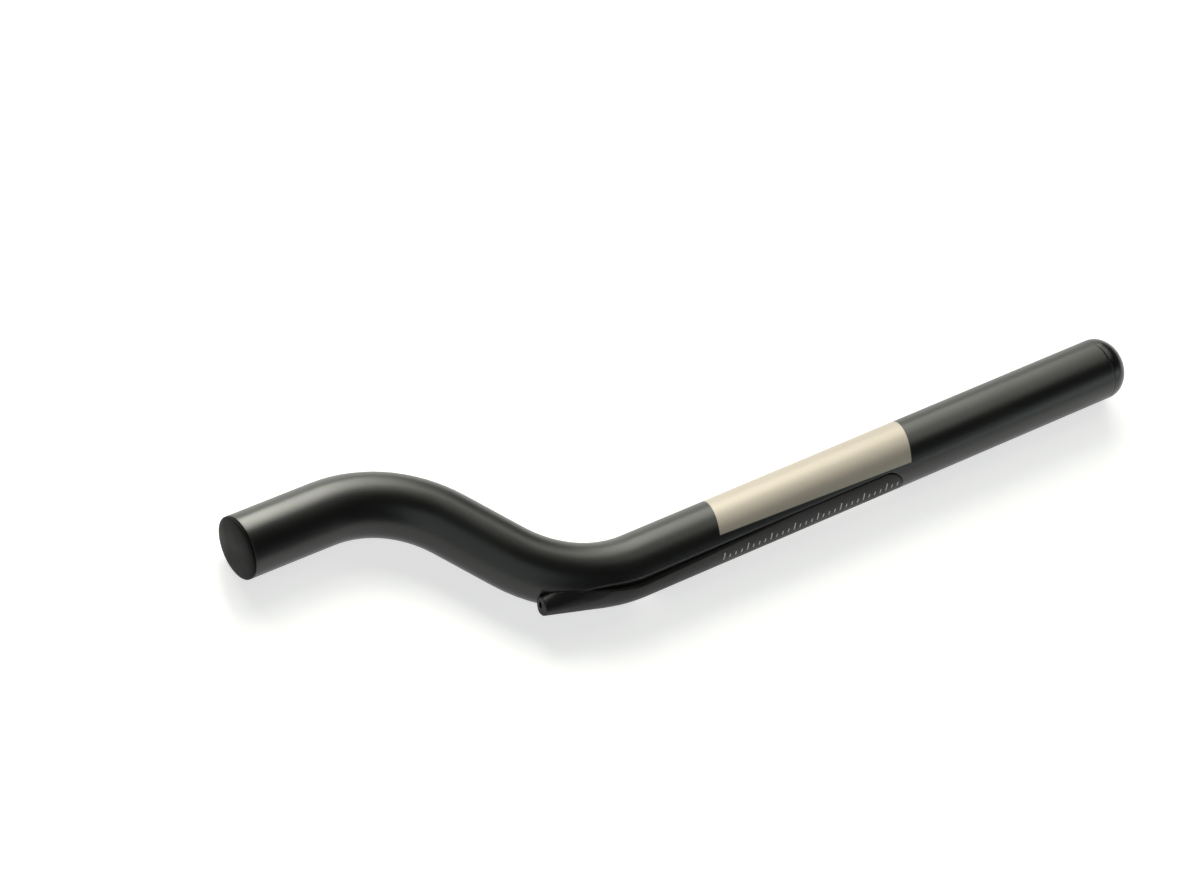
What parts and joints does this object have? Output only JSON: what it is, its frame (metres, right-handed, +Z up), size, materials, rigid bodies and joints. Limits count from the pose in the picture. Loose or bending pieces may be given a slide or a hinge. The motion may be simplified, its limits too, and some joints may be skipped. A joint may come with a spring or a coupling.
{
  "type": "aero bar extension",
  "caption": "S-bend aero bar extension: a hollow bent tube with a flush cable guide under its straight run, a cable port, a flat hand-end plug and a domed clamp-end plug.",
  "frame": {"origin": "middle of the bounding box, on the surface the bar lies on", "axes": "+X along the straight run towards the clamp end, +Y the way the hand end is offset, +Z up from the surface, out of the plane of the bends"},
  "size_m": [0.3366, 0.0822, 0.0222],
  "materials": {
    "tube": "satin black, with a champagne panel on the clamp run",
    "guide": "satin black moulding",
    "eyelet": "pale smooth ring",
    "plug": "soft black moulding"
  },
  "bodies": {
    "root": {"s_bend_tube": "tube", "cable_guide": "guide", "cable_port_eyelet": "eyelet", "front_end_plug": "plug", "rear_end_plug": "plug"}
  },
  "joints": []
}
